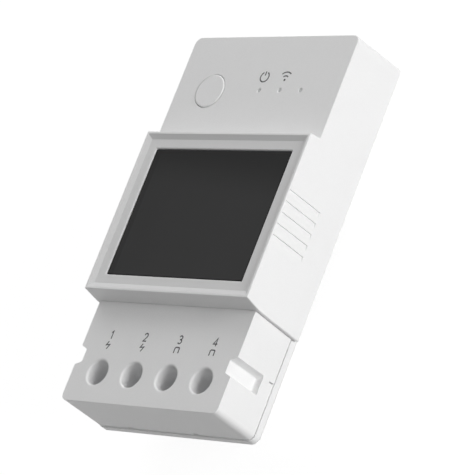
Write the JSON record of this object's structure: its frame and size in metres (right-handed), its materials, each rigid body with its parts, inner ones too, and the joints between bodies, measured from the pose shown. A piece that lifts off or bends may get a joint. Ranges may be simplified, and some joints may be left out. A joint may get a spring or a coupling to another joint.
{
  "type": "rail-mounted smart switch",
  "caption": "Rail-mounted smart switch with a raised dark screen in a bevelled frame, a round push button, pinhole lights, side grooves and screw terminals behind round access holes.",
  "frame": {"origin": "middle of the footprint, on the plane of the rail feet", "axes": "+Z out of the front face, +Y toward the end with the button, +X to the right seen from the front"},
  "size_m": [0.054, 0.0984, 0.031],
  "materials": {
    "shell_plastic": "moulded flame-retardant polycarbonate, fine matt texture, near white",
    "base_plastic": "same moulded plastic as the shells, glass filled",
    "smoked_window": "smoked acrylic, printed dark behind",
    "black_foam": "closed-cell foam strip",
    "display_glass": "display glass behind the window",
    "white_plastic": "white moulded holder that spreads the backlight",
    "black_plastic": "black moulded plastic",
    "clear_plastic": "clear moulded acrylic light pipe",
    "lamp_body": "surface-mounted lamp",
    "spring_steel": "bright spring wire",
    "board_laminate": "green solder mask over glass-fibre laminate",
    "zinc_steel": "bright zinc-plated steel",
    "relay_plastic": "dark blue relay case",
    "transformer_tape": "yellow winding tape and ferrite",
    "capacitor_sleeve": "shrink sleeve over an aluminium can",
    "film_plastic": "yellow boxed film capacitor",
    "varistor_coat": "blue epoxy coating",
    "fuse_ceramic": "ceramic fuse tube",
    "manganin": "manganin strip",
    "tinned_can": "tinned shielding can",
    "tinned_brass": "tinned brass busbar"
  },
  "bodies": {
    "case": {"front_cover": "shell_plastic", "terminal_housing": "shell_plastic", "rear_base": "base_plastic", "screen_window": "smoked_window", "lcd_foam_frame": "black_foam", "lcd_panel": "display_glass", "lcd_holder": "white_plastic", "tact_switch": "black_plastic", "light_pipe": "clear_plastic", "status_leds": "lamp_body", "rail_clip_spring": "spring_steel", "main_board": "board_laminate", "display_board": "board_laminate", "display_board_screws": "zinc_steel", "case_screws": "zinc_steel", "board_header": "black_plastic", "relay": "relay_plastic", "transformer": "transformer_tape", "bulk_capacitors": "capacitor_sleeve", "suppression_capacitor": "film_plastic", "line_choke": "black_plastic", "varistor": "varistor_coat", "fuse": "fuse_ceramic", "shunt": "manganin", "metering_chip": "black_plastic", "radio_module": "board_laminate", "radio_shield": "tinned_can", "busbar_1": "tinned_brass", "busbar_2": "tinned_brass", "busbar_3": "tinned_brass", "busbar_4": "tinned_brass"},
    "button": {"button_cap": "shell_plastic", "tact_plunger": "black_plastic"},
    "clip": {"rail_clip": "base_plastic"},
    "screw_1": {"terminal_screw_1": "zinc_steel"},
    "cage_1": {"terminal_cage_1": "zinc_steel"},
    "screw_2": {"terminal_screw_2": "zinc_steel"},
    "cage_2": {"terminal_cage_2": "zinc_steel"},
    "screw_3": {"terminal_screw_3": "zinc_steel"},
    "cage_3": {"terminal_cage_3": "zinc_steel"},
    "screw_4": {"terminal_screw_4": "zinc_steel"},
    "cage_4": {"terminal_cage_4": "zinc_steel"}
  },
  "joints": [
    {"name": "button_press", "type": "slide", "parent": "case", "child": "button", "axis": [0, 0, -1], "range_m": [0, 0.0003], "stiffness_N_per_m": 300, "springref_m": -0.003},
    {"name": "rail_clip_pull", "type": "slide", "parent": "case", "child": "clip", "axis": [0, -1, 0], "range_m": [0, 0.0045], "stiffness_N_per_m": 400, "springref_m": -0.003, "deforming": ["rail_clip_spring"]},
    {"name": "terminal_screw_1_turn", "type": "hinge", "parent": "case", "child": "screw_1", "pos_m": [-0.01725, -0.04105, 0.0183], "axis": [0, 0, -1], "range_deg": [0, 1800]},
    {"name": "terminal_cage_1_rise", "type": "slide", "parent": "case", "child": "cage_1", "axis": [0, 0, 1], "range_m": [0, 0.003]},
    {"name": "terminal_screw_2_turn", "type": "hinge", "parent": "case", "child": "screw_2", "pos_m": [-0.00575, -0.04105, 0.0183], "axis": [0, 0, -1], "range_deg": [0, 1800]},
    {"name": "terminal_cage_2_rise", "type": "slide", "parent": "case", "child": "cage_2", "axis": [0, 0, 1], "range_m": [0, 0.003]},
    {"name": "terminal_screw_3_turn", "type": "hinge", "parent": "case", "child": "screw_3", "pos_m": [0.00575, -0.04105, 0.0183], "axis": [0, 0, -1], "range_deg": [0, 1800]},
    {"name": "terminal_cage_3_rise", "type": "slide", "parent": "case", "child": "cage_3", "axis": [0, 0, 1], "range_m": [0, 0.003]},
    {"name": "terminal_screw_4_turn", "type": "hinge", "parent": "case", "child": "screw_4", "pos_m": [0.01725, -0.04105, 0.0183], "axis": [0, 0, -1], "range_deg": [0, 1800]},
    {"name": "terminal_cage_4_rise", "type": "slide", "parent": "case", "child": "cage_4", "axis": [0, 0, 1], "range_m": [0, 0.003]}
  ],
  "couplings": [
    {"joint": "terminal_screw_1_turn", "follows": "terminal_cage_1_rise", "rad_per_m": 10472},
    {"joint": "terminal_screw_2_turn", "follows": "terminal_cage_2_rise", "rad_per_m": 10472},
    {"joint": "terminal_screw_3_turn", "follows": "terminal_cage_3_rise", "rad_per_m": 10472},
    {"joint": "terminal_screw_4_turn", "follows": "terminal_cage_4_rise", "rad_per_m": 10472}
  ]
}
